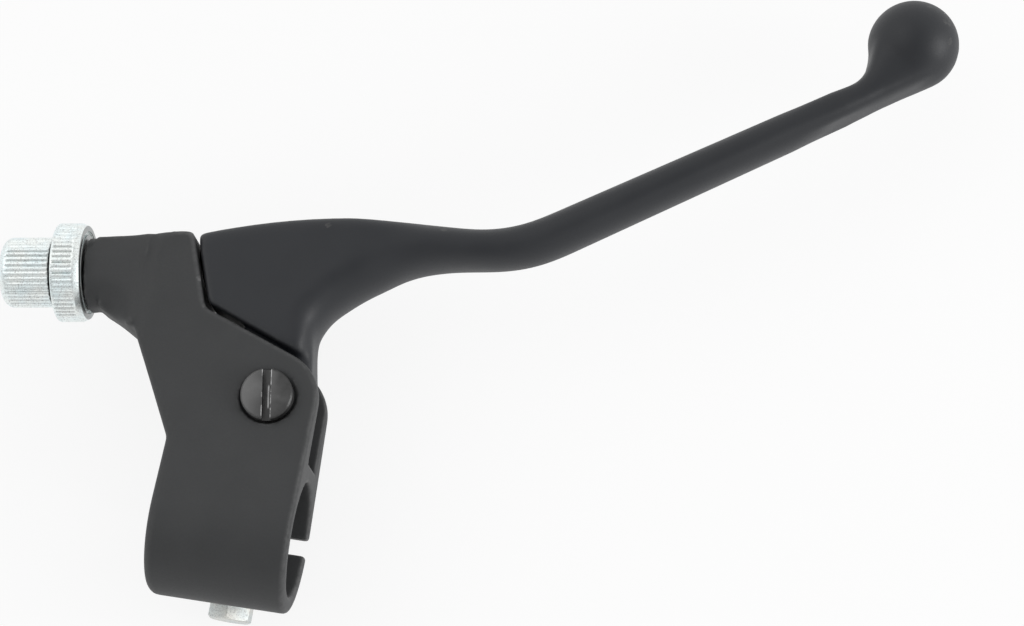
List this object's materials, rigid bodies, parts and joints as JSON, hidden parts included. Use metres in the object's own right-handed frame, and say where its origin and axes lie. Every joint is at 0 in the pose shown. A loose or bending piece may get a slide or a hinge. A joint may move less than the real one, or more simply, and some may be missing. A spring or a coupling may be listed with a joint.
{
  "type": "hand brake lever with clamp bracket",
  "caption": "Black cast hand lever with a ball end on a split handlebar clamp bracket, with a slotted pivot screw, a knurled cable adjuster and its lock wheel.",
  "frame": {"origin": "on the handlebar's axis, at the middle of the clamp", "axes": "+X along the handlebar towards its end, +Y from the bar to the lever, +Z along the lever's pivot, towards the screw's head"},
  "size_m": [0.1837, 0.1436, 0.0362],
  "materials": {
    "black_casting": "matt black coat",
    "black_lever": "satin black coat",
    "plain_steel": "turned",
    "blackened_steel": "semi-gloss black, turned",
    "zinc_plate": "bright zinc plate"
  },
  "bodies": {
    "bracket": {"perch": "black_casting", "pivot_bush": "plain_steel", "pivot_screw": "blackened_steel", "pivot_nut": "zinc_plate", "clamp_bolt": "zinc_plate"},
    "lever": {"lever": "black_lever"},
    "adjuster": {"adjuster_screw": "zinc_plate"},
    "wheel": {"lock_wheel": "zinc_plate"}
  },
  "joints": [
    {"name": "lever_pivot", "type": "hinge", "parent": "bracket", "child": "lever", "pos_m": [0.0036, 0.0251, 0], "axis": [0, 0, -1], "range_deg": [0, 36]},
    {"name": "adjuster_slide", "type": "slide", "parent": "bracket", "child": "adjuster", "axis": [-0.989, -0.1478, 0], "range_m": [0, 0.008]},
    {"name": "wheel_turn", "type": "hinge", "parent": "bracket", "child": "wheel", "pos_m": [-0.04096, 0.04611, 0], "axis": [-0.989, -0.1478, 0], "continuous": true}
  ]
}
